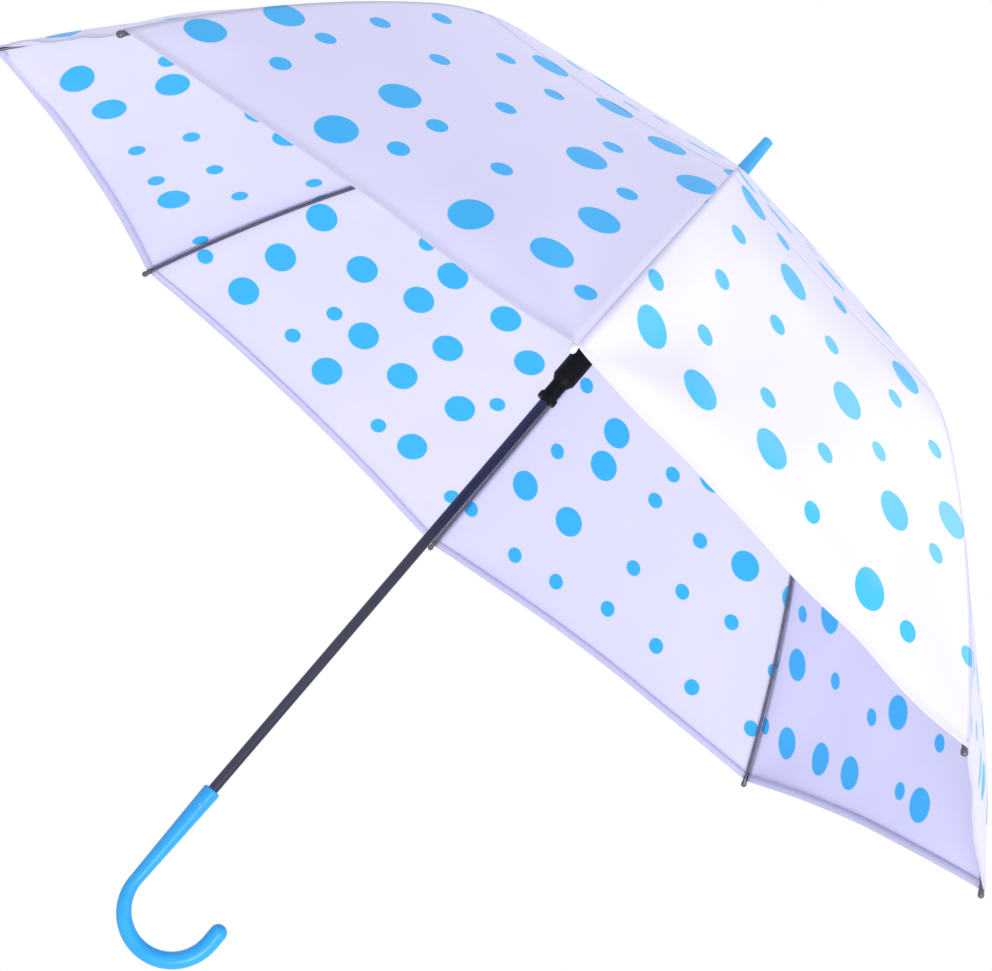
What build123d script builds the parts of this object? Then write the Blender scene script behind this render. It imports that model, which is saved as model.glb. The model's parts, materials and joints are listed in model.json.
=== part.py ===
"""Eight-rib stick umbrella with a domed film canopy, open.

Millimetres. The shaft lies on Z with the ferrule up, and the crook's lowest point is at Z = 0.
"""

import os
from math import acos, atan2, cos, degrees, hypot, radians, sin, tan

from build123d import *

os.makedirs("parts", exist_ok=True)

# ---------------------------------------------------------------- driving sizes
RIBS = 8
PITCH = 360 / RIBS
HALF = PITCH / 2

# crook handle
GRIP_LENGTH = 84.0
GRIP_TOP_D = 13.6
GRIP_END_D = 9.8
CROOK_R = 35.0
CROOK_D = 12.2
CROOK_TIP_D = 13.0
CROOK_TIP_LENGTH = 9.0
SOCKET_DEPTH = 62.0

# shaft
SHAFT_D = 8.0
SHAFT_WALL = 0.8
SHAFT_TOP_D = 5.6
HEM_OVER_HANDLE = 312.0

# canopy: the middle line of a gore is three arcs, each (length, turn in degrees), from the crown to the hem
CROWN_HOLE_R = 5.5
CROWN_SLOPE = 20.0
MIDDLE_LINE = ((240.0, 1.0), (84.0, 22.5), (230.0, 12.5))
FILM = 0.25
SEAM_GAP = 0.3

# ribs and stretchers
RIB_D = 2.8
RIB_UNDER_FILM = 3.0
RIB_TIP_BALL_D = 4.4
RIB_TIP_REACH = 3.0
BEND_AT = 275.0
BRACKET_AT = 216.0
BEND_GAP = 1.2
BRACKET_DROP = 8.6
STRETCHER_D = 2.4
EYE_D = 3.4
EYE_THICK = 1.5
RIVET_D = 1.4
CLOSED_ANGLE = 2.0

# hubs
HUB_RING_R = 7.5
HUB_WIRE_D = 1.0
HUB_R = 9.6
NOTCH_DROP = 6.2
NOTCH_HEIGHT = 8.0
NOTCH_PLATE = 0.9
RUNNER_NECK_D = 12.6
RUNNER_BODY_D = 18.4
RUNNER_SLEEVE_D = 14.4
RUNNER_FLANGE_D = 15.6
RUNNER_FLANGE = 6.0
RUNNER_NECK = 11.0
RUNNER_BODY = 40.0
RUNNER_RING = 10.0
PARK_GAP = 84.0

# catches
CATCH_AZIMUTH = 202.5
CATCH_THICK = 1.4
CATCH_REACH = 7.0
CATCH_HEIGHT = 20.6
CATCH_ROOM = 1.2

# ferrule
FERRULE_LENGTH = 33.0
FERRULE_D = 10.8
FERRULE_TIP_D = 8.4
FERRULE_FLARE_D = 11.4
FERRULE_BORE_DEPTH = 22.0

# clearances
SLIDE_FIT = 0.35
PIVOT_FIT = 0.25
PRESS_FIT = 0.05
SLOT_FIT = 0.35

# ---------------------------------------------------------------- places that follow
HANDLE_TOP = GRIP_LENGTH + CROOK_R + CROOK_D / 2
HEM_Z = HANDLE_TOP + HEM_OVER_HANDLE


def walk(distance):
    """Place along a gore's middle line from its start: (across, down, slope in degrees)."""
    across, down, slope = 0.0, 0.0, CROWN_SLOPE
    left = distance
    for length, turn in MIDDLE_LINE:
        step = min(left, length)
        radius = length / radians(turn)
        end = slope + degrees(step / radius)
        across += radius * (sin(radians(end)) - sin(radians(slope)))
        down += radius * (cos(radians(slope)) - cos(radians(end)))
        slope = end
        left -= step
        if left <= 0:
            break
    return across, down, slope


LINE_LENGTH = sum(length for length, turn in MIDDLE_LINE)
CROWN_Z = HEM_Z + walk(LINE_LENGTH)[1]
CROWN_X = CROWN_HOLE_R * cos(radians(HALF))


def film_place(distance):
    """Point of the film's outer face on a gore's middle line, (x, z) in the gore's own plane."""
    across, down, slope = walk(distance)
    return CROWN_X + across, CROWN_Z - down


def seam_place(distance, depth=0.0):
    """Point below a rib seam, (radius, z), that lies depth under the film, square to it."""
    x, z = film_place(distance)
    slope = radians(walk(distance)[2])
    along = (cos(slope) / cos(radians(HALF)), -sin(slope))
    size = hypot(*along)
    return x / cos(radians(HALF)) + depth * along[1] / size, z - depth * along[0] / size


NOTCH = (HUB_RING_R, CROWN_Z - NOTCH_DROP)
BEND = seam_place(BEND_AT, RIB_UNDER_FILM)
JOINT = seam_place(BRACKET_AT, RIB_UNDER_FILM + BRACKET_DROP)
TIP = seam_place(LINE_LENGTH, RIB_UNDER_FILM)
LINK = hypot(JOINT[0] - NOTCH[0], JOINT[1] - NOTCH[1])
RUNNER_PIVOT = (HUB_RING_R, 2 * JOINT[1] - NOTCH[1])
OPEN_ANGLE = degrees(acos((NOTCH[1] - JOINT[1]) / LINK))
TRAVEL = 2 * LINK * (cos(radians(CLOSED_ANGLE)) - cos(radians(OPEN_ANGLE)))
RUNNER_BOTTOM = HANDLE_TOP + PARK_GAP + TRAVEL
RUNNER_TOP = RUNNER_PIVOT[1] + EYE_D / 2 + 1.6
SHAFT_TOP = CROWN_Z + FERRULE_BORE_DEPTH - 1.0
NOTCH_TOP = NOTCH[1] + EYE_D / 2 + PIVOT_FIT + NOTCH_PLATE
WINDOW_TOP = RUNNER_BOTTOM + RUNNER_FLANGE + 19.0
CATCH_TOP_Z = WINDOW_TOP - SLOT_FIT - CATCH_HEIGHT
CATCH_BOTTOM_Z = CATCH_TOP_Z - TRAVEL


# ---------------------------------------------------------------- shaft and its pins
with BuildPart() as shaft:
    with BuildSketch(Plane.XZ):
        with BuildLine():
            neck_z = CROWN_Z + 1.0
            Polyline(
                (0, HANDLE_TOP - SOCKET_DEPTH + 1),
                (SHAFT_D / 2, HANDLE_TOP - SOCKET_DEPTH + 1),
                (SHAFT_D / 2, neck_z - 1.4),
                (SHAFT_TOP_D / 2, neck_z),
                (SHAFT_TOP_D / 2, SHAFT_TOP),
                (0, SHAFT_TOP),
                close=True,
            )
        make_face()
    revolve(axis=Axis.Z)
    with BuildSketch(Plane.XY.offset(HANDLE_TOP - SOCKET_DEPTH + 1)):
        Circle(SHAFT_D / 2 - SHAFT_WALL)
    extrude(amount=NOTCH_TOP - HANDLE_TOP + SOCKET_DEPTH - 1, mode=Mode.SUBTRACT)
    # a slot in the tube for each catch
    for foot_z in (CATCH_TOP_Z, CATCH_BOTTOM_Z):
        with Locations(Location((0, 0, foot_z), (0, 0, CATCH_AZIMUTH))):
            slot_w = CATCH_THICK + 2 * SLOT_FIT
            slot_h = CATCH_HEIGHT + CATCH_ROOM
            Box(
                SHAFT_D,
                slot_w,
                slot_h,
                align=(Align.MIN, Align.CENTER, Align.MIN),
                mode=Mode.SUBTRACT,
            )
    # cross holes for the stop pin, the notch pin and the handle pin
    STOP_Z = RUNNER_TOP + 1.6
    NOTCH_PIN_Z = NOTCH[1] - EYE_D
    HANDLE_PIN_Z = HANDLE_TOP - 14.0
    PIN_D = 2.0
    with Locations(*[Location((0, 0, z), (0, 90, HALF)) for z in (STOP_Z, NOTCH_PIN_Z, HANDLE_PIN_Z)]):
        Cylinder(PIN_D / 2 + PRESS_FIT, 2 * SHAFT_D, mode=Mode.SUBTRACT)
shaft.part.label = "shaft_tube"
export_step(shaft.part, "parts/shaft_tube.step")

PIN_LENGTHS = {
    "stop_pin": (STOP_Z, SHAFT_D + 2.8),
    "notch_pin": (NOTCH_PIN_Z, 2 * HUB_R - 7.0),
    "handle_pin": (HANDLE_PIN_Z, GRIP_TOP_D - 1.6),
}
for pin_name, (pin_z, pin_length) in PIN_LENGTHS.items():
    with BuildPart() as pin:
        with Locations(Location((0, 0, pin_z), (0, 90, HALF))):
            Cylinder(PIN_D / 2, pin_length)
        chamfer(pin.edges().filter_by(GeomType.CIRCLE), 0.25)
    pin.part.label = pin_name
    export_step(pin.part, f"parts/{pin_name}.step")


# ---------------------------------------------------------------- crook handle
BEND_CENTRE_Z = CROOK_R + CROOK_D / 2
with BuildPart() as handle:
    # straight grip, tapering down to the crook
    with BuildSketch(Plane.YZ):
        with BuildLine():
            Polyline(
                (0, BEND_CENTRE_Z),
                (GRIP_END_D / 2, BEND_CENTRE_Z),
                (GRIP_TOP_D / 2, HANDLE_TOP),
                (0, HANDLE_TOP),
                close=True,
            )
        make_face()
    revolve(axis=Axis.Z)
    # crook, growing from the grip's thin end to the tip
    with BuildLine(Plane.YZ) as crook_path:
        CenterArc((CROOK_R, BEND_CENTRE_Z), CROOK_R, 180, 180)
    crook_sizes = ((0, GRIP_END_D), (0.5, CROOK_D), (1, CROOK_TIP_D))
    for share, size in crook_sizes:
        heading = crook_path.line % share
        with BuildSketch(Plane(origin=crook_path.line @ share, x_dir=(1, 0, 0), z_dir=heading)):
            Circle(size / 2)
    sweep(path=crook_path.line, multisection=True)
    # rounded tip
    with Locations((0, 2 * CROOK_R, BEND_CENTRE_Z)):
        Cylinder(CROOK_TIP_D / 2, CROOK_TIP_LENGTH, align=(Align.CENTER, Align.CENTER, Align.MIN))
    with Locations((0, 2 * CROOK_R, BEND_CENTRE_Z + CROOK_TIP_LENGTH)):
        Sphere(CROOK_TIP_D / 2)
    # mouth and shaft socket
    chamfer(handle.edges().filter_by(GeomType.CIRCLE).sort_by(Axis.Z)[-1], 1.0)
    with BuildSketch(Plane.XY.offset(HANDLE_TOP)):
        Circle(SHAFT_D / 2 + PRESS_FIT)
    extrude(amount=-SOCKET_DEPTH, mode=Mode.SUBTRACT)
    with BuildSketch(Plane.XY.offset(HANDLE_TOP)):
        Circle(SHAFT_D / 2 + 0.8)
    extrude(amount=-2.5, mode=Mode.SUBTRACT)
    with Locations(Location((0, 0, HANDLE_PIN_Z), (0, 90, HALF))):
        Cylinder(PIN_D / 2 + PRESS_FIT, 2 * GRIP_TOP_D, mode=Mode.SUBTRACT)
handle.part.label = "crook_handle"
export_step(handle.part, "parts/crook_handle.step")


# ---------------------------------------------------------------- ferrule and film washer
FERRULE_Z = CROWN_Z + 0.15
with BuildPart() as ferrule:
    with BuildSketch(Plane.XZ):
        with BuildLine():
            Polyline(
                (0, FERRULE_Z + FERRULE_LENGTH),
                (FERRULE_TIP_D / 2, FERRULE_Z + FERRULE_LENGTH),
                (FERRULE_D / 2, FERRULE_Z + 4.0),
                (FERRULE_FLARE_D / 2, FERRULE_Z + 1.4),
                (FERRULE_FLARE_D / 2, FERRULE_Z),
                (0, FERRULE_Z),
                close=True,
            )
        make_face()
    revolve(axis=Axis.Z)
    fillet(ferrule.edges().filter_by(GeomType.CIRCLE).sort_by(Axis.Z)[-1], 1.2)
    with BuildSketch(Plane.XY.offset(FERRULE_Z)):
        Circle(SHAFT_TOP_D / 2 + PRESS_FIT)
    extrude(amount=FERRULE_BORE_DEPTH, mode=Mode.SUBTRACT)
    # room for the shaft's shoulder
    with BuildSketch(Plane.XY.offset(FERRULE_Z)):
        Circle(SHAFT_D / 2 + PRESS_FIT)
    extrude(amount=1.2, mode=Mode.SUBTRACT)
ferrule.part.label = "ferrule"
export_step(ferrule.part, "parts/ferrule.step")

WASHER_R = HUB_R + 0.6
with BuildPart() as washer:
    with BuildSketch(Plane.XY.offset(NOTCH_TOP + PRESS_FIT)):
        Circle(WASHER_R)
        Circle(SHAFT_D / 2 + PRESS_FIT, mode=Mode.SUBTRACT)
    extrude(amount=0.4)
washer.part.label = "film_washer"
export_step(washer.part, "parts/film_washer.step")


# ---------------------------------------------------------------- notch
EYE_SLOT = EYE_THICK + 2 * SLOT_FIT
SLOT_FLOOR_R = HUB_RING_R - EYE_D / 2 - PIVOT_FIT
with BuildPart() as notch:
    with BuildSketch(Plane.XY.offset(NOTCH_TOP)):
        Circle(HUB_R)
    extrude(amount=-NOTCH_HEIGHT)
    # each rib's slot is open outwards and downwards
    with BuildSketch(Plane.XY.offset(NOTCH_TOP - NOTCH_PLATE)):
        with PolarLocations(0, RIBS):
            with Locations((SLOT_FLOOR_R, 0)):
                Rectangle(HUB_R, EYE_SLOT, align=(Align.MIN, Align.CENTER))
    extrude(amount=-(EYE_D + 2 * PIVOT_FIT + 1.2), mode=Mode.SUBTRACT)
    # groove that lets the wire ring in from below
    with BuildSketch(Plane.XY.offset(NOTCH[1] + HUB_WIRE_D / 2 + PRESS_FIT)):
        Circle(HUB_RING_R + HUB_WIRE_D / 2 + PRESS_FIT)
        Circle(HUB_RING_R - HUB_WIRE_D / 2 - PRESS_FIT, mode=Mode.SUBTRACT)
    extrude(amount=-(EYE_D / 2 + PIVOT_FIT + 1.7), mode=Mode.SUBTRACT)
    # lower collar
    with BuildSketch(Plane.XY.offset(NOTCH_TOP - NOTCH_HEIGHT)):
        Circle(HUB_R)
        Circle(SLOT_FLOOR_R, mode=Mode.SUBTRACT)
    extrude(amount=NOTCH_HEIGHT - NOTCH_PLATE - EYE_D - 2 * PIVOT_FIT, mode=Mode.SUBTRACT)
    with BuildSketch(Plane.XY.offset(NOTCH_TOP)):
        Circle(SHAFT_D / 2 + PRESS_FIT)
    extrude(amount=-NOTCH_HEIGHT, mode=Mode.SUBTRACT)
    with Locations(Location((0, 0, NOTCH_PIN_Z), (0, 90, HALF))):
        Cylinder(PIN_D / 2 + PRESS_FIT, 4 * HUB_R, mode=Mode.SUBTRACT)
notch.part.label = "notch_hub"
export_step(notch.part, "parts/notch_hub.step")

for ring_name, ring_z in (("notch_wire_ring", NOTCH[1]), ("runner_wire_ring", RUNNER_PIVOT[1])):
    with BuildPart() as ring:
        with Locations((0, 0, ring_z)):
            Torus(HUB_RING_R, HUB_WIRE_D / 2)
    ring.part.label = ring_name
    export_step(ring.part, f"parts/{ring_name}.step")


# ---------------------------------------------------------------- runner
RING_BOTTOM = RUNNER_TOP - RUNNER_RING
BODY_BOTTOM = RUNNER_BOTTOM + RUNNER_FLANGE + RUNNER_NECK
BODY_TOP = BODY_BOTTOM + RUNNER_BODY
with BuildPart() as runner:
    with BuildSketch(Plane.XZ):
        with BuildLine():
            Polyline(
                (0, RUNNER_BOTTOM),
                (RUNNER_FLANGE_D / 2, RUNNER_BOTTOM),
                (RUNNER_FLANGE_D / 2, RUNNER_BOTTOM + RUNNER_FLANGE - 1.2),
                (RUNNER_NECK_D / 2, RUNNER_BOTTOM + RUNNER_FLANGE + 0.6),
                (RUNNER_NECK_D / 2, BODY_BOTTOM),
                (RUNNER_BODY_D / 2, BODY_BOTTOM + 5),
                (RUNNER_BODY_D / 2, BODY_TOP - 3),
                (RUNNER_SLEEVE_D / 2, BODY_TOP),
                (RUNNER_SLEEVE_D / 2, RING_BOTTOM - 3),
                (HUB_R, RING_BOTTOM),
                (HUB_R, RUNNER_TOP),
                (0, RUNNER_TOP),
                close=True,
            )
        make_face()
    revolve(axis=Axis.Z)
    fillet(runner.edges().filter_by(GeomType.CIRCLE).sort_by(Axis.Z)[0], 0.8)
    # each stretcher's slot is open outwards and upwards
    with BuildSketch(Plane.XY.offset(RUNNER_TOP)):
        with PolarLocations(0, RIBS):
            with Locations((SLOT_FLOOR_R, 0)):
                Rectangle(HUB_R, EYE_SLOT, align=(Align.MIN, Align.CENTER))
    extrude(amount=-(RUNNER_TOP - RUNNER_PIVOT[1] + EYE_D / 2 + PIVOT_FIT), mode=Mode.SUBTRACT)
    with BuildSketch(Plane.XY.offset(RUNNER_TOP)):
        Circle(HUB_RING_R + HUB_WIRE_D / 2 + PRESS_FIT)
        Circle(HUB_RING_R - HUB_WIRE_D / 2 - PRESS_FIT, mode=Mode.SUBTRACT)
    ring_depth = RUNNER_TOP - RUNNER_PIVOT[1] + HUB_WIRE_D / 2 + PRESS_FIT
    extrude(amount=-ring_depth, mode=Mode.SUBTRACT)
    # bore and catch window
    with BuildSketch(Plane.XY.offset(RUNNER_BOTTOM)):
        Circle(SHAFT_D / 2 + SLIDE_FIT)
    extrude(amount=RUNNER_TOP - RUNNER_BOTTOM, mode=Mode.SUBTRACT)
    with Locations(Location((0, 0, WINDOW_TOP), (0, 0, CATCH_AZIMUTH))):
        Box(
            RUNNER_BODY_D,
            CATCH_THICK + 4 * SLOT_FIT,
            16.0,
            align=(Align.MIN, Align.CENTER, Align.MAX),
            mode=Mode.SUBTRACT,
        )
runner.part.label = "runner"
export_step(runner.part, "parts/runner.step")


# ---------------------------------------------------------------- catches
for catch_name, foot_z in (("upper_catch", CATCH_TOP_Z), ("lower_catch", CATCH_BOTTOM_Z)):
    with BuildPart() as catch:
        with BuildSketch(Plane.XZ):
            with BuildLine():
                Polyline(
                    (-1.6, foot_z - 3.0),
                    (1.6, foot_z - 3.0),
                    (2.4, foot_z + 9.0),
                    (SHAFT_D / 2 - 0.2, foot_z + 11.0),
                    (CATCH_REACH, foot_z + CATCH_HEIGHT - 1.0),
                    (CATCH_REACH, foot_z + CATCH_HEIGHT),
                    (1.0, foot_z + CATCH_HEIGHT),
                    (-1.0, foot_z + 3.0),
                    close=True,
                )
            make_face()
        extrude(amount=CATCH_THICK / 2, both=True)
    with BuildPart() as turned:
        add(catch.part, rotation=(0, 0, CATCH_AZIMUTH))
    turned.part.label = catch_name
    export_step(turned.part, f"parts/{catch_name}.step")


# ---------------------------------------------------------------- ribs
def shifted(point, slope, distance):
    """Point moved distance down a line that falls at slope degrees."""
    return point[0] + distance * cos(radians(slope)), point[1] - distance * sin(radians(slope))


def seam_slope(distance):
    """Slope of the rib seam, in degrees, at a distance along the middle line beside it."""
    slope = radians(walk(distance)[2])
    return degrees(atan2(sin(slope) * cos(radians(HALF)), cos(slope)))


def wire_line(start, slope, places):
    """Draws arcs from start through places, each one smooth with the arc before it."""
    heading = (cos(radians(slope)), -sin(radians(slope)))
    for place in places:
        TangentArc(start, place, tangent=heading)
        run = (place[0] - start[0], place[1] - start[1])
        twice = 2 * (heading[0] * run[0] + heading[1] * run[1]) / hypot(*run) ** 2
        heading = (twice * run[0] - heading[0], twice * run[1] - heading[1])
        start = place


BRACKET_FOOT = seam_place(BRACKET_AT, RIB_UNDER_FILM)
BRACKET_SLOPE = seam_slope(BRACKET_AT)
CHEEK = 0.8
CHEEK_INNER = EYE_THICK / 2 + SLOT_FIT
STEPS_IN = [BEND_AT * share for share in (0.36, 0.87)]
STEPS_OUT = [BEND_AT + (LINE_LENGTH - BEND_AT) * share for share in (0.17, 0.58)]


with BuildPart() as rib_inner:
    with BuildLine(Plane.XZ) as rib_line:
        start = (NOTCH[0] + EYE_D / 3, NOTCH[1] - 0.2)
        end = shifted(BEND, seam_slope(BEND_AT), -BEND_GAP / 2)
        first, *others = [seam_place(s, RIB_UNDER_FILM) for s in STEPS_IN]
        rise = degrees(atan2(start[1] - first[1], first[0] - start[0]))
        wire_line(start, 2 * rise - seam_slope(STEPS_IN[0]), [first, *others, end])
    with BuildSketch(Plane(origin=rib_line.line @ 0, z_dir=rib_line.line % 0)):
        Circle(RIB_D / 2)
    sweep()
    # the wire is pressed flat where it runs in the notch
    for side in (-1, 1):
        with Locations((NOTCH[0] - EYE_D, side * EYE_THICK / 2, NOTCH[1])):
            flat_align = (Align.MIN, Align.MIN if side > 0 else Align.MAX, Align.CENTER)
            Box(EYE_D + HUB_R - NOTCH[0] + 2.2, RIB_D, 2 * EYE_D, align=flat_align, mode=Mode.SUBTRACT)
    with Locations(Location((NOTCH[0], 0, NOTCH[1]), (90, 0, 0))):
        Cylinder(EYE_D / 2, EYE_THICK)
        Cylinder(HUB_WIRE_D / 2 + PIVOT_FIT, 2 * EYE_D, mode=Mode.SUBTRACT)
    # crimped joint bracket: a collar on the wire, two cheeks and their rivet
    with Locations(Location((BRACKET_FOOT[0], 0, BRACKET_FOOT[1]), (0, 90 + BRACKET_SLOPE, 0))):
        Cylinder(RIB_D / 2 + 0.6, 8.0)
    for side in (-1, 1):
        with BuildSketch(Plane.XZ.offset(side * (CHEEK_INNER + CHEEK / 2))):
            with BuildLine():
                Polyline(
                    shifted(BRACKET_FOOT, BRACKET_SLOPE, -3.6),
                    shifted(JOINT, BRACKET_SLOPE, -EYE_D / 2),
                    shifted(JOINT, BRACKET_SLOPE + 90, EYE_D / 2),
                    shifted(JOINT, BRACKET_SLOPE, EYE_D / 2),
                    shifted(BRACKET_FOOT, BRACKET_SLOPE, 3.6),
                    close=True,
                )
            make_face()
        extrude(amount=CHEEK / 2, both=True)
    with Locations(Location((JOINT[0], 0, JOINT[1]), (90, 0, 0))):
        Cylinder(RIVET_D / 2, 2 * (CHEEK_INNER + CHEEK) + 1.0)

with BuildPart() as rib_outer:
    with BuildLine(Plane.XZ) as end_line:
        start = shifted(BEND, seam_slope(BEND_AT), BEND_GAP / 2)
        end = shifted(TIP, seam_slope(LINE_LENGTH), RIB_TIP_REACH)
        places = [seam_place(s, RIB_UNDER_FILM) for s in STEPS_OUT]
        wire_line(start, seam_slope(BEND_AT), [*places, end])
    with BuildSketch(Plane(origin=end_line.line @ 0, z_dir=end_line.line % 0)):
        Circle(RIB_D / 2)
    sweep()
    with Locations((end[0], 0, end[1])):
        Sphere(RIB_TIP_BALL_D / 2)

# ---------------------------------------------------------------- stretchers
REACH = hypot(JOINT[0] - RUNNER_PIVOT[0], JOINT[1] - RUNNER_PIVOT[1])
RISE = degrees(atan2(JOINT[1] - RUNNER_PIVOT[1], JOINT[0] - RUNNER_PIVOT[0]))
ALONG = (cos(radians(RISE)), 0, sin(radians(RISE)))
FROM_RUNNER = Plane(origin=(RUNNER_PIVOT[0], 0, RUNNER_PIVOT[1]), x_dir=(0, -1, 0), z_dir=ALONG)
with BuildPart(FROM_RUNNER) as stretcher:
    with Locations((0, 0, EYE_D / 2 - 0.6)):
        Cylinder(STRETCHER_D / 2, REACH - EYE_D + 1.2, align=(Align.CENTER, Align.CENTER, Align.MIN))
    # both ends are pressed flat and pierced
    flats = ((-EYE_D, Align.MIN), (REACH + EYE_D, Align.MAX))
    for flat_z, flat_side in flats:
        for side in (-1, 1):
            with Locations((side * EYE_THICK / 2, 0, flat_z)):
                Box(
                    STRETCHER_D,
                    STRETCHER_D,
                    2 * EYE_D + HUB_R - NOTCH[0] + 1.5,
                    align=(Align.MIN if side > 0 else Align.MAX, Align.CENTER, flat_side),
                    mode=Mode.SUBTRACT,
                )
    for eye_z, pin_size in ((0, HUB_WIRE_D), (REACH, RIVET_D)):
        with Locations(Location((0, 0, eye_z), (0, 90, 0))):
            Cylinder(EYE_D / 2, EYE_THICK)
            Cylinder(pin_size / 2 + PIVOT_FIT, 2 * EYE_D, mode=Mode.SUBTRACT)

for k in range(RIBS):
    for master, kind in ((rib_inner, "rib"), (rib_outer, "rib_end"), (stretcher, "stretcher")):
        with BuildPart() as copy:
            add(master.part, rotation=(0, 0, k * PITCH))
        copy.part.label = f"{kind}_{k + 1}"
        export_step(copy.part, f"parts/{kind}_{k + 1}.step")


# ---------------------------------------------------------------- canopy gores
def arcs(first, last, depth):
    """Arcs of the film between two distances, depth under its outer face.

    Each is (start, direction, radius, turn in degrees).
    """
    found = []
    done = 0.0
    for length, turn in MIDDLE_LINE:
        begin, finish = max(first, done), min(last, done + length)
        if finish > begin:
            x, z = film_place(begin)
            slope = radians(walk(begin)[2])
            start = (x - depth * sin(slope), z - depth * cos(slope))
            part_turn = turn * (finish - begin) / length
            found.append((start, (cos(slope), -sin(slope)), length / radians(turn) - depth, part_turn))
        done += length
    return found


PANELS = (("upper", 0.0, BEND_AT - SEAM_GAP / 2), ("lower", BEND_AT + SEAM_GAP / 2, LINE_LENGTH))
CANOPY_R = TIP[0] + 40
for panel_name, first, last in PANELS:
    with BuildPart() as panel:
        with BuildSketch(Plane.XZ):
            with BuildLine():
                ends = []
                for depth in (0.0, FILM):
                    for start, direction, radius, turn in arcs(first, last, depth):
                        piece = JernArc(start, direction, radius, -turn)
                        ends += [start, piece @ 1]
                half = len(ends) // 2
                Line(ends[0], ends[half])
                Line(ends[half - 1], ends[-1])
            make_face()
        extrude(amount=CANOPY_R * sin(radians(HALF)) + 10, both=True)
        with BuildSketch(Plane.XY):
            with BuildLine():
                apex = SEAM_GAP / 2 / sin(radians(HALF))
                side = (CANOPY_R - apex) * tan(radians(HALF))
                Polyline((apex, 0), (CANOPY_R, -side), (CANOPY_R, side), close=True)
            make_face()
        extrude(amount=CROWN_Z + 10, mode=Mode.INTERSECT)
    for k in range(RIBS):
        with BuildPart() as gore:
            add(panel.part, rotation=(0, 0, k * PITCH + HALF))
        gore.part.label = f"gore_{panel_name}_{k + 1}"
        export_step(gore.part, f"parts/gore_{panel_name}_{k + 1}.step")
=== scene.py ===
import json
from math import atan2, cos, exp, hypot, pi, radians, sin, tan

import bpy
from mathutils import Matrix, Vector, noise


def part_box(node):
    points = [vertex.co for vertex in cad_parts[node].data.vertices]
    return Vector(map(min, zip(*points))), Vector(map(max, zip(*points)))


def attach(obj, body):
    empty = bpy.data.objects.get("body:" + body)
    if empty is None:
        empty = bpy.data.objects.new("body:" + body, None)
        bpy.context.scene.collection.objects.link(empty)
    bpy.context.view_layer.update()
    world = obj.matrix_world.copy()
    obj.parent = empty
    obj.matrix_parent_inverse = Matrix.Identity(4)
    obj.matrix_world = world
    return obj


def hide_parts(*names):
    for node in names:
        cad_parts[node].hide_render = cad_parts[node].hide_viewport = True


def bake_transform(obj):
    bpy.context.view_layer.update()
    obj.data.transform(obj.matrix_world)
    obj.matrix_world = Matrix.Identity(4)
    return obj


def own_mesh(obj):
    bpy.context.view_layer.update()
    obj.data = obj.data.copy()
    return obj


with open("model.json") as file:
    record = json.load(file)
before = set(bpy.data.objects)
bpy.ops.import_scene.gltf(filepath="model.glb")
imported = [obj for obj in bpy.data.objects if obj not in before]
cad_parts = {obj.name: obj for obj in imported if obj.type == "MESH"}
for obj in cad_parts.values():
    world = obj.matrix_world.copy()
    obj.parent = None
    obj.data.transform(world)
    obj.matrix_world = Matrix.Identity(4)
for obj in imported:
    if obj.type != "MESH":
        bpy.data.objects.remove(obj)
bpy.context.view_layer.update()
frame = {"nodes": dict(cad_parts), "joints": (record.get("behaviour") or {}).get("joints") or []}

# ---------------------------------------------------------------------------------------
# The canopy film: eight gores of thin milky plastic film, welded to each other along the
# ribs and printed with large and small blue dots. Each gore hangs as one smooth curved
# sheet from the crown to the hem and is cut across at the ribs' bend, where it folds.
RIBS = 8
PITCH = 2 * pi / RIBS
HALF = PITCH / 2
MIDDLE_LINE = ((0.240, 1.0), (0.084, 22.5), (0.230, 12.5))
CROWN_SLOPE = radians(20.0)
LINE_LENGTH = sum(length for length, turn in MIDDLE_LINE)
CROWN_X = 0.0055 * cos(HALF)
CROWN_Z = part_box("gore_upper_1")[1].z
BEND_AT = 0.275
BOW_AT = 0.282          # where the ribs bow most, along the middle line
FILM = 0.0003
HEM_RISE = 0.009        # the hem is this much shorter at mid span than at the ribs
HEM_FOLD = 0.006
CURL_BAND = 0.052
PLEAT_REACH = 0.065
PLEAT_PULL = (0.0014, 0.0060, 0.0016, 0.0012, 0.0018, 0.0013)
CROWN_TAUT = 0.03       # the film has no slack at the crown, and its full slack beyond this
PATTERN_STEP = 0.437    # shift of the printed pattern from one gore to the next
ROWS_ACROSS = 56


def walk(distance):
    """Place and slope on a gore's middle line, distance along the film from the crown."""
    across, down, slope = CROWN_X, CROWN_Z, CROWN_SLOPE
    left = distance
    for length, turn in MIDDLE_LINE:
        step = min(left, length)
        radius = length / radians(turn)
        end = slope + step / radius
        across += radius * (sin(end) - sin(slope))
        down -= radius * (cos(slope) - cos(end))
        slope = end
        left -= step
        if left <= 0:
            return across, down, slope
    return across + left * cos(slope), down - left * sin(slope), slope


def pleats(off_corner, up, strength, phase):
    """Soft pleats that fan out from a rib tip, in metres; they die out at the seam."""
    reach = hypot(off_corner, up)
    if reach < 1e-6:
        return 0.0
    fan = atan2(up, off_corner) / (pi / 2)
    swell = reach / PLEAT_REACH * exp(1 - reach / PLEAT_REACH)
    return strength * swell * sin(7.5 * fan + phase) * cos(fan * pi / 2)


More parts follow.
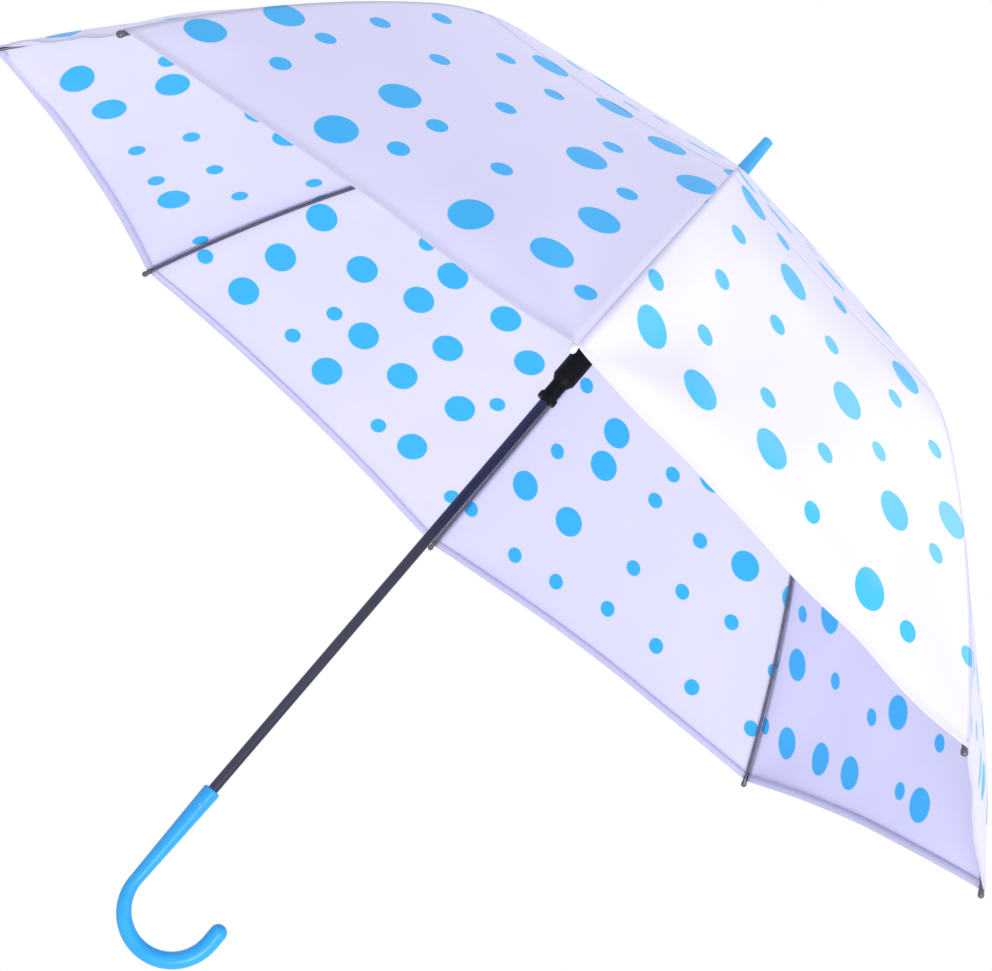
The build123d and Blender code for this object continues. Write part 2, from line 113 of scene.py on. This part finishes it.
def slack(gore, share, distance):
    """How far the film stands off its taut surface, outwards, in metres."""
    x, z, slope = walk(distance)
    half_width = x * tan(HALF)
    seam_free = 1 - abs(share) ** 6
    to_hem = max(0.0, LINE_LENGTH - HEM_RISE * (1 - share ** 2) - distance)
    spot = Vector((share * half_width, distance, gore * 3.7))
    # taut film pulls in between the ribs, most where the ribs bow
    stand = -0.005 * (1 - share ** 2) * exp(-((distance - BOW_AT) / 0.075) ** 2)
    stand += seam_free * 0.0024 * noise.noise(spot * 9)
    stand += seam_free * 0.0005 * noise.noise(spot * 31)
    # the hem curls under a little, most on the gore in front
    curl = 0.017 if gore == 1 else 0.005
    ripple = 0.75 + 0.5 * noise.noise(Vector((share * 2.3, gore * 5.1, 0.4)))
    if to_hem < CURL_BAND:
        stand -= curl * ripple * (1 - share ** 4) * (1 - to_hem / CURL_BAND) ** 2
    # pleats at both rib tips
    rib_left, rib_right = gore, gore % RIBS + 1
    hem_half = walk(LINE_LENGTH)[0] * tan(HALF)
    across = share * half_width
    up = LINE_LENGTH - distance
    for side, rib in ((-1, rib_left), (1, rib_right)):
        pull = PLEAT_PULL[rib % len(PLEAT_PULL)]
        off = max(0.0, hem_half - side * across)
        stand += seam_free * pleats(off, up, pull, gore * 1.3 + side)
    return stand * min(1.0, distance / CROWN_TAUT)


def film_point(gore, share, distance):
    """A point of the finished film in its gore's own plane: x outwards, y across, z up."""
    x, z, slope = walk(distance)
    stand = slack(gore, share, distance)
    return Vector((x + stand * sin(slope), share * x * tan(HALF), z + stand * cos(slope))), slope


def film_piece(name, gore, first, last, rows, hem):
    """One panel of a gore, from first to last along the film; hem adds the folded edge."""
    bpy.ops.object.select_all(action="DESELECT")
    fold_rows = 3 if hem else 0
    bpy.ops.mesh.primitive_grid_add(
        x_subdivisions=ROWS_ACROSS, y_subdivisions=rows + fold_rows, size=2)
    film = bpy.context.object
    film.name = name
    mesh = film.data
    turn = Matrix.Rotation((gore - 0.5) * PITCH, 4, "Z")
    flat, to_hem, to_seam = {}, [], []
    for vertex in mesh.vertices:
        share = vertex.co.x
        row = round((1 - vertex.co.y) / 2 * (rows + fold_rows))
        end = last - HEM_RISE * (1 - share ** 2) if hem else last
        distance = first + (end - first) * min(row, rows) / rows
        place, slope = film_point(gore, share, distance)
        if row > rows:
            # the edge is turned inwards and lies flat against the inside
            back, lift = ((-0.0005, 0.0006), (0.0, 0.0011), (HEM_FOLD, 0.0012))[row - rows - 1]
            place += Vector((-cos(slope), 0, sin(slope))) * back
            place -= Vector((sin(slope), 0, cos(slope))) * lift
        vertex.co = turn @ place
        flat[vertex.index] = (share * walk(distance)[0] * tan(HALF) + PATTERN_STEP * gore, distance)
        to_hem.append(end - distance if hem else 1.0)
        to_seam.append((1 - abs(share)) * walk(distance)[0] * tan(HALF))
    pattern = mesh.uv_layers.new(name="film_flat")
    for loop in mesh.loops:
        pattern.data[loop.index].uv = flat[loop.vertex_index]
    for label, values in (("to_hem", to_hem), ("to_seam", to_seam)):
        mesh.attributes.new(label, "FLOAT", "POINT").data.foreach_set("value", values)
    out = turn @ Vector((0.3, 0, 1)) - turn @ Vector((0, 0, 0))
    mesh.update()
    if mesh.polygons[len(mesh.polygons) // 2].normal.dot(out) < 0:
        mesh.flip_normals()
    bpy.ops.object.shade_smooth()
    wall = film.modifiers.new("wall", "SOLIDIFY")
    wall.thickness = FILM
    wall.offset = -1
    bpy.ops.object.modifier_apply(modifier="wall")
    return film


def new_finish(name):
    """An empty node material with its Principled shader: (material, nodes, links, shader)."""
    material = bpy.data.materials.new(name)
    material.use_nodes = True
    nodes, links = material.node_tree.nodes, material.node_tree.links
    return material, nodes, links, nodes["Principled BSDF"]


DOT_CELL = 0.0545
SMALL_DOT_R = 0.0072
LARGE_DOT_R = 0.0138
LAST_DOT_AT = 0.531


def film_finish():
    """Milky film: lavender white, satin gloss, light comes through; blue dots are printed on it."""
    material, nodes, links, shader = new_finish("milky_film")
    flat = nodes.new("ShaderNodeUVMap")
    flat.uv_map = "film_flat"
    dots = nodes.new("ShaderNodeTexVoronoi")
    dots.voronoi_dimensions = "2D"
    dots.inputs["Scale"].default_value = 1 / DOT_CELL
    dots.inputs["Randomness"].default_value = 0.46
    links.new(flat.outputs["UV"], dots.inputs["Vector"])
    # large and small dots: a cell's own random colour picks its size
    pick = nodes.new("ShaderNodeSeparateColor")
    links.new(dots.outputs["Color"], pick.inputs["Color"])
    size = nodes.new("ShaderNodeMapRange")
    size.interpolation_type = "STEPPED"
    size.inputs["Steps"].default_value = 1
    size.inputs["To Min"].default_value = SMALL_DOT_R / DOT_CELL
    size.inputs["To Max"].default_value = LARGE_DOT_R / DOT_CELL
    links.new(pick.outputs["Red"], size.inputs["Value"])
    inside = nodes.new("ShaderNodeMath")
    inside.operation = "SUBTRACT"
    links.new(size.outputs["Result"], inside.inputs[0])
    links.new(dots.outputs["Distance"], inside.inputs[1])
    print_edge = nodes.new("ShaderNodeMapRange")
    print_edge.inputs["From Min"].default_value = -0.004
    print_edge.inputs["From Max"].default_value = 0.004
    links.new(inside.outputs[0], print_edge.inputs["Value"])
    # the print stops short of the hem, so no dot is cut off there
    centre = nodes.new("ShaderNodeSeparateXYZ")
    links.new(dots.outputs["Position"], centre.inputs["Vector"])
    clear_of_hem = nodes.new("ShaderNodeMath")
    clear_of_hem.operation = "LESS_THAN"
    clear_of_hem.inputs[1].default_value = LAST_DOT_AT
    links.new(centre.outputs["Y"], clear_of_hem.inputs[0])
    print_here = nodes.new("ShaderNodeMath")
    print_here.operation = "MULTIPLY"
    links.new(print_edge.outputs["Result"], print_here.inputs[0])
    links.new(clear_of_hem.outputs[0], print_here.inputs[1])
    # the milkiness of the film is a little cloudy
    cloud = nodes.new("ShaderNodeTexNoise")
    cloud.inputs["Scale"].default_value = 14
    cloud.inputs["Detail"].default_value = 3
    links.new(flat.outputs["UV"], cloud.inputs["Vector"])
    milk = nodes.new("ShaderNodeMix")
    milk.data_type = "RGBA"
    milk.inputs["A"].default_value = (0.765, 0.752, 0.985, 1)
    milk.inputs["B"].default_value = (0.805, 0.792, 0.998, 1)
    links.new(cloud.outputs["Fac"], milk.inputs["Factor"])
    # the turned hem and the welds are two layers thick and drawn a little darker; the darker band along
    # the hem is also painted shade where the film turns under
    hem = nodes.new("ShaderNodeAttribute")
    hem.attribute_name = "to_hem"
    hem_layers_and_shade = nodes.new("ShaderNodeMapRange")
    hem_layers_and_shade.inputs["From Min"].default_value = 0.0012
    hem_layers_and_shade.inputs["From Max"].default_value = 0.0062
    hem_layers_and_shade.inputs["To Min"].default_value = 0.26
    hem_layers_and_shade.inputs["To Max"].default_value = 0.0
    links.new(hem.outputs["Fac"], hem_layers_and_shade.inputs["Value"])
    seam = nodes.new("ShaderNodeAttribute")
    seam.attribute_name = "to_seam"
    weld_line = nodes.new("ShaderNodeMapRange")
    weld_line.inputs["From Min"].default_value = 0.0004
    weld_line.inputs["From Max"].default_value = 0.0024
    weld_line.inputs["To Min"].default_value = 0.20
    weld_line.inputs["To Max"].default_value = 0.0
    links.new(seam.outputs["Fac"], weld_line.inputs["Value"])
    welds_and_hem_shade = nodes.new("ShaderNodeMath")
    welds_and_hem_shade.operation = "MAXIMUM"
    links.new(hem_layers_and_shade.outputs["Result"], welds_and_hem_shade.inputs[0])
    links.new(weld_line.outputs["Result"], welds_and_hem_shade.inputs[1])
    # mixes in the darker colour: the two-layer welds, and painted shade along the turned hem
    layered_and_hem_shade = nodes.new("ShaderNodeMix")
    layered_and_hem_shade.data_type = "RGBA"
    layered_and_hem_shade.inputs["B"].default_value = (0.42, 0.40, 0.66, 1)
    links.new(welds_and_hem_shade.outputs[0], layered_and_hem_shade.inputs["Factor"])
    links.new(milk.outputs["Result"], layered_and_hem_shade.inputs["A"])
    printed = nodes.new("ShaderNodeMix")
    printed.data_type = "RGBA"
    printed.inputs["B"].default_value = (0.034, 0.52, 0.97, 1)
    links.new(print_here.outputs[0], printed.inputs["Factor"])
    links.new(layered_and_hem_shade.outputs["Result"], printed.inputs["A"])
    links.new(printed.outputs["Result"], shader.inputs["Base Color"])
    gloss = nodes.new("ShaderNodeMapRange")
    gloss.inputs["To Min"].default_value = 0.30
    gloss.inputs["To Max"].default_value = 0.42
    links.new(cloud.outputs["Fac"], gloss.inputs["Value"])
    links.new(gloss.outputs["Result"], shader.inputs["Roughness"])
    # fine crinkles of handled film
    crinkle = nodes.new("ShaderNodeTexNoise")
    crinkle.inputs["Scale"].default_value = 60
    crinkle.inputs["Detail"].default_value = 5
    links.new(flat.outputs["UV"], crinkle.inputs["Vector"])
    relief = nodes.new("ShaderNodeBump")
    relief.inputs["Strength"].default_value = 0.10
    relief.inputs["Distance"].default_value = 0.001
    links.new(crinkle.outputs["Fac"], relief.inputs["Height"])
    links.new(relief.outputs["Normal"], shader.inputs["Normal"])
    glow = nodes.new("ShaderNodeBsdfTranslucent")
    links.new(printed.outputs["Result"], glow.inputs["Color"])
    through = nodes.new("ShaderNodeMixShader")
    through.inputs["Fac"].default_value = 0.25
    links.new(shader.outputs["BSDF"], through.inputs[1])
    links.new(glow.outputs["BSDF"], through.inputs[2])
    links.new(through.outputs["Shader"], nodes["Material Output"].inputs["Surface"])
    return material


film_material = film_finish()
for gore in range(1, RIBS + 1):
    wide_bend = 2 * walk(BEND_AT)[0] * tan(HALF)
    wide_hem = 2 * walk(LINE_LENGTH)[0] * tan(HALF)
    wide_crown = 2 * CROWN_X * tan(HALF)
    lower_length = LINE_LENGTH - BEND_AT
    cuts = (
        ("upper", 0.0, BEND_AT, 46, False, wide_crown, wide_bend, BEND_AT),
        ("lower", BEND_AT, LINE_LENGTH, 58, True, wide_bend, wide_hem, lower_length + HEM_FOLD),
    )
    for part, first, last, rows, hem, top, bottom, length in cuts:
        film = film_piece(f"film_{part}_{gore}", gore, first, last, rows, hem)
        film.data.materials.append(film_material)
        node = f"gore_{part}_{gore}"
        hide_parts(node)
        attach(film, node)
        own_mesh(film)

# ---------------------------------------------------------------------------------------
# Eight sprung wire ribs and eight stretchers: dark coated steel wire, flattened and
# pierced at its ends. A short bowed length carries each rib over its bend.


def grain_group(name, stretch):
    """Fine surface variation on Object coordinates: Mottle from 0 to 1 and a relief Height."""
    group = bpy.data.node_groups.new(name, "ShaderNodeTree")
    group.interface.new_socket("Scale", in_out="INPUT", socket_type="NodeSocketFloat")
    group.interface.new_socket("Mottle", in_out="OUTPUT", socket_type="NodeSocketFloat")
    group.interface.new_socket("Height", in_out="OUTPUT", socket_type="NodeSocketFloat")
    nodes, links = group.nodes, group.links
    given, result = nodes.new("NodeGroupInput"), nodes.new("NodeGroupOutput")
    place = nodes.new("ShaderNodeTexCoord")
    drawn = nodes.new("ShaderNodeMapping")
    drawn.inputs["Scale"].default_value = stretch
    links.new(place.outputs["Object"], drawn.inputs["Vector"])
    for output, detail in (("Mottle", 3.0), ("Height", 7.0)):
        speckle = nodes.new("ShaderNodeTexNoise")
        speckle.inputs["Detail"].default_value = detail
        links.new(drawn.outputs["Vector"], speckle.inputs["Vector"])
        links.new(given.outputs["Scale"], speckle.inputs["Scale"])
        links.new(speckle.outputs["Fac"], result.inputs[output])
    return group


moulded = grain_group("moulded_grain", (1, 1, 1))
drawn_metal = grain_group("drawn_metal", (1, 1, 0.06))


def plain_finish(name, group, scale, dark, light, rough, relief, metallic=0.0, coat=0.0, shine=0.5):
    """A finish that varies between two close colours and two roughnesses, with fine relief."""
    material, nodes, links, shader = new_finish(name)
    grain = nodes.new("ShaderNodeGroup")
    grain.node_tree = group
    grain.inputs["Scale"].default_value = scale
    tint = nodes.new("ShaderNodeMix")
    tint.data_type = "RGBA"
    tint.inputs["A"].default_value = (*dark, 1)
    tint.inputs["B"].default_value = (*light, 1)
    links.new(grain.outputs["Mottle"], tint.inputs["Factor"])
    links.new(tint.outputs["Result"], shader.inputs["Base Color"])
    polish = nodes.new("ShaderNodeMapRange")
    polish.inputs["To Min"].default_value = rough[0]
    polish.inputs["To Max"].default_value = rough[1]
    links.new(grain.outputs["Mottle"], polish.inputs["Value"])
    links.new(polish.outputs["Result"], shader.inputs["Roughness"])
    bump = nodes.new("ShaderNodeBump")
    bump.inputs["Strength"].default_value = relief
    bump.inputs["Distance"].default_value = 0.0004
    links.new(grain.outputs["Height"], bump.inputs["Height"])
    links.new(bump.outputs["Normal"], shader.inputs["Normal"])
    shader.inputs["Metallic"].default_value = metallic
    shader.inputs["Specular IOR Level"].default_value = shine
    shader.inputs["Coat Weight"].default_value = coat
    shader.inputs["Coat Roughness"].default_value = 0.08
    return material


def refinish(material, *nodes):
    """Puts a finish on CAD parts that keep their own shape."""
    for name in nodes:
        mesh = frame["nodes"][name].data
        mesh.materials.clear()
        mesh.materials.append(material)


WIRE_R = 0.0014
BOW_LENGTH = 0.007


def along_rib(rib, distance):
    """Direction of a rib under its seam, outwards and down, at a distance along the film."""
    slope = atan2(sin(walk(distance)[2]) * cos(HALF), cos(walk(distance)[2]))
    middle = (rib - 1) * PITCH
    return Vector((cos(slope) * cos(middle), cos(slope) * sin(middle), -sin(slope)))


wire = plain_finish("coated_wire", drawn_metal, 260, (0.075, 0.073, 0.090), (0.150, 0.146, 0.175),
                    (0.25, 0.40), 0.12, metallic=0.5)
for rib in range(1, RIBS + 1):
    refinish(wire, f"rib_{rib}", f"rib_end_{rib}", f"stretcher_{rib}")
    bend = next(Vector(joint["pos_m"]) for joint in frame["joints"] if joint["name"] == f"rib_{rib}_bend")
    along = along_rib(rib, BEND_AT)
    bpy.ops.object.select_all(action="DESELECT")
    bpy.ops.mesh.primitive_cylinder_add(
        vertices=20, radius=WIRE_R * 1.03, depth=BOW_LENGTH, location=bend,
        rotation=along.to_track_quat("Z", "Y").to_euler())
    bow = bpy.context.object
    bow.name = f"rib_bow_{rib}"
    bpy.ops.object.transform_apply(location=True, rotation=True, scale=True)
    bpy.ops.object.mode_set(mode="EDIT")
    for step in range(1, 9):
        bpy.ops.mesh.select_all(action="SELECT")
        bpy.ops.mesh.bisect(plane_co=bend + along * (step - 4.5) * 0.00075, plane_no=along)
    bpy.ops.mesh.select_all(action="SELECT")
    bpy.ops.mesh.normals_make_consistent(inside=False)
    bpy.ops.object.mode_set(mode="OBJECT")
    bpy.ops.object.shade_smooth_by_angle(angle=radians(40))
    bow.data.materials.append(wire)
    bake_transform(bow)

# ---------------------------------------------------------------------------------------
# Each rib ends in a small rounded cap that the film's corner is tied to, pressed onto the
# wire over its thickened end: bright metal on the first rib; the other seven are drawn dark as the wire,
# which is painted shade where they turn away from the light.
cap_metal = plain_finish("bright_cap", moulded, 300, (0.70, 0.70, 0.74), (0.86, 0.86, 0.90),
                         (0.18, 0.30), 0.08, metallic=0.6)
CAP_PROFILE = ((0.00150, -0.0075), (0.00195, -0.0073), (0.00205, -0.0030), (0.00240, -0.0018),
               (0.00255, 0.0), (0.00225, 0.0013), (0.00140, 0.0022), (0.0, 0.0026))
TIP_BALL_R = 0.0022
low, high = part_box("rib_end_1")
for rib in range(1, RIBS + 1):
    first_ball = Vector((high.x - TIP_BALL_R, 0, low.z + TIP_BALL_R))
    ball = Matrix.Rotation((rib - 1) * PITCH, 4, "Z") @ first_ball
    along = along_rib(rib, LINE_LENGTH)
    bpy.ops.object.select_all(action="DESELECT")
    bpy.ops.mesh.primitive_circle_add(
        vertices=24, radius=CAP_PROFILE[0][0], location=(0, 0, CAP_PROFILE[0][1]))
    cap = bpy.context.object
    cap.name = f"rib_cap_{rib}"
    bpy.ops.object.transform_apply(location=True)
    bpy.ops.object.mode_set(mode="EDIT")
    bpy.ops.mesh.select_all(action="SELECT")
    for (r0, z0), (r1, z1) in zip(CAP_PROFILE, CAP_PROFILE[1:]):
        bpy.ops.mesh.extrude_region_move(TRANSFORM_OT_translate={"value": (0, 0, z1 - z0)})
        share = max(r1, 1e-5) / r0
        bpy.ops.transform.resize(value=(share, share, 1), center_override=(0, 0, z1))
    bpy.ops.mesh.select_all(action="SELECT")
    bpy.ops.mesh.remove_doubles(threshold=0.00003)
    bpy.ops.mesh.normals_make_consistent(inside=False)
    bpy.ops.object.mode_set(mode="OBJECT")
    bpy.ops.object.shade_smooth_by_angle(angle=radians(50))
    cap.data.transform(Matrix.Translation(ball) @ along.to_track_quat("Z", "Y").to_matrix().to_4x4())
    # bright metal on the first cap; the dark wire finish on the other seven caps is painted shade
    cap.data.materials.append(cap_metal if rib == 1 else wire)
    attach(cap, f"rib_end_{rib}")

# ---------------------------------------------------------------------------------------
# The stick: a thin dark bright-plated steel tube. Its pins, spring catches and the wire
# rings of both hubs are plain drawn steel, each with fine marks along the draw.
tube = plain_finish("dark_tube", drawn_metal, 180, (0.050, 0.051, 0.080), (0.078, 0.080, 0.124),
                    (0.14, 0.20), 0.05, metallic=1.0)
refinish(tube, "shaft_tube")
steel = plain_finish("plain_steel", drawn_metal, 320, (0.50, 0.50, 0.52), (0.64, 0.64, 0.66),
                     (0.22, 0.34), 0.10, metallic=1.0)
refinish(steel, "notch_wire_ring", "runner_wire_ring", "stop_pin", "notch_pin", "handle_pin",
         "upper_catch", "lower_catch")

# ---------------------------------------------------------------------------------------
# Hubs: the runner that slides on the tube and the notch under the crown are black
# moulded plastic; a thin white washer keeps the film off the notch.
black = plain_finish("black_plastic", moulded, 420, (0.0015, 0.0015, 0.0025), (0.005, 0.005, 0.007),
                     (0.42, 0.58), 0.16, shine=0.15)
refinish(black, "runner", "notch_hub")
white = plain_finish("white_washer", moulded, 300, (0.66, 0.66, 0.70), (0.78, 0.78, 0.82),
                     (0.40, 0.55), 0.10)
refinish(white, "film_washer")

# ---------------------------------------------------------------------------------------
# Crook handle and ferrule: blue plastic, moulded in one piece each. The handle is the
# deeper blue and a little pearly, and the ferrule is lighter and more matt.
pearl = plain_finish("pearly_blue", moulded, 55, (0.011, 0.255, 0.610), (0.030, 0.375, 0.820),
                     (0.26, 0.38), 0.04, shine=0.32)
refinish(pearl, "crook_handle")
sky = plain_finish("sky_blue", moulded, 70, (0.040, 0.380, 0.800), (0.070, 0.480, 0.900),
                   (0.30, 0.42), 0.05, shine=0.3)
refinish(sky, "ferrule")

# ---------------------------------------------------------------------------------------
# Room: a white floor far below the hand-held umbrella, white all around, a large soft lamp
# from the right, one high behind the crown for the sheen and one low in front for the inside.
bpy.ops.object.select_all(action="DESELECT")
bpy.ops.mesh.primitive_plane_add(size=14, location=(0, 0, -0.9))
floor = bpy.context.object
floor.name = "floor"
floor_paint, nodes, links, shader = new_finish("pale_floor")
shader.inputs["Base Color"].default_value = (0.86, 0.86, 0.87, 1)
shader.inputs["Roughness"].default_value = 0.9
floor.data.materials.append(floor_paint)

world = bpy.data.worlds.new("white_room")
bpy.context.scene.world = world
world.use_nodes = True
nodes, links = world.node_tree.nodes, world.node_tree.links
room = nodes["Background"]
room.inputs["Color"].default_value = (1.0, 1.0, 1.0, 1)
seen = nodes.new("ShaderNodeBackground")
seen.inputs["Color"].default_value = (1.0, 1.0, 1.0, 1)
seen.inputs["Strength"].default_value = 1.0
room.inputs["Strength"].default_value = 0.93
rays = nodes.new("ShaderNodeLightPath")
clear_ray = nodes.new("ShaderNodeMath")
clear_ray.operation = "MAXIMUM"
links.new(rays.outputs["Is Camera Ray"], clear_ray.inputs[0])
links.new(rays.outputs["Is Transmission Ray"], clear_ray.inputs[1])
seen_ray = nodes.new("ShaderNodeMath")
seen_ray.operation = "MAXIMUM"
links.new(clear_ray.outputs[0], seen_ray.inputs[0])
links.new(rays.outputs["Is Glossy Ray"], seen_ray.inputs[1])
choose = nodes.new("ShaderNodeMixShader")
links.new(seen_ray.outputs[0], choose.inputs["Fac"])
links.new(room.outputs["Background"], choose.inputs[1])
links.new(seen.outputs["Background"], choose.inputs[2])
links.new(choose.outputs["Shader"], nodes["World Output"].inputs["Surface"])


def soft_lamp(name, place, aim, size, power):
    """A square soft lamp at place that shines towards aim."""
    lamp = bpy.data.lights.new(name, "AREA")
    lamp.size = size
    lamp.energy = power
    holder = bpy.data.objects.new(name, lamp)
    bpy.context.scene.collection.objects.link(holder)
    holder.location = place
    holder.rotation_euler = (Vector(aim) - Vector(place)).to_track_quat("-Z", "Y").to_euler()


soft_lamp("key", (1.9, 2.3, 1.9), (0.2, 0.15, 0.55), 1.6, 14)
soft_lamp("sheen", (-0.5, 1.05, 2.2), (0.3, 0.15, 0.55), 1.0, 9)
soft_lamp("fill", (1.7, 1.0, -0.35), (-0.1, 0.0, 0.5), 0.7, 25)

# ---------------------------------------------------------------------------------------
# Camera: low in front of rib 1, looking up under the hem, and rolled so that the stick
# leans across the picture with the handle at the lower left.
CAMERA_PLACE = Vector((1.9562, 0.0298, 0.0831))
CAMERA_AIM = Vector((0.0, 0.0129, 0.4310))
CAMERA_ROLL = radians(40.5)
camera_data = bpy.data.cameras.new("camera")
camera_data.lens = 96.76
camera = bpy.data.objects.new("camera", camera_data)
bpy.context.scene.collection.objects.link(camera)
level = (CAMERA_AIM - CAMERA_PLACE).to_track_quat("-Z", "Y").to_matrix().to_4x4()
camera.matrix_world = Matrix.Translation(CAMERA_PLACE) @ level @ Matrix.Rotation(CAMERA_ROLL, 4, "Z")
bpy.context.scene.camera = camera
bpy.context.scene.view_settings.view_transform = "Standard"
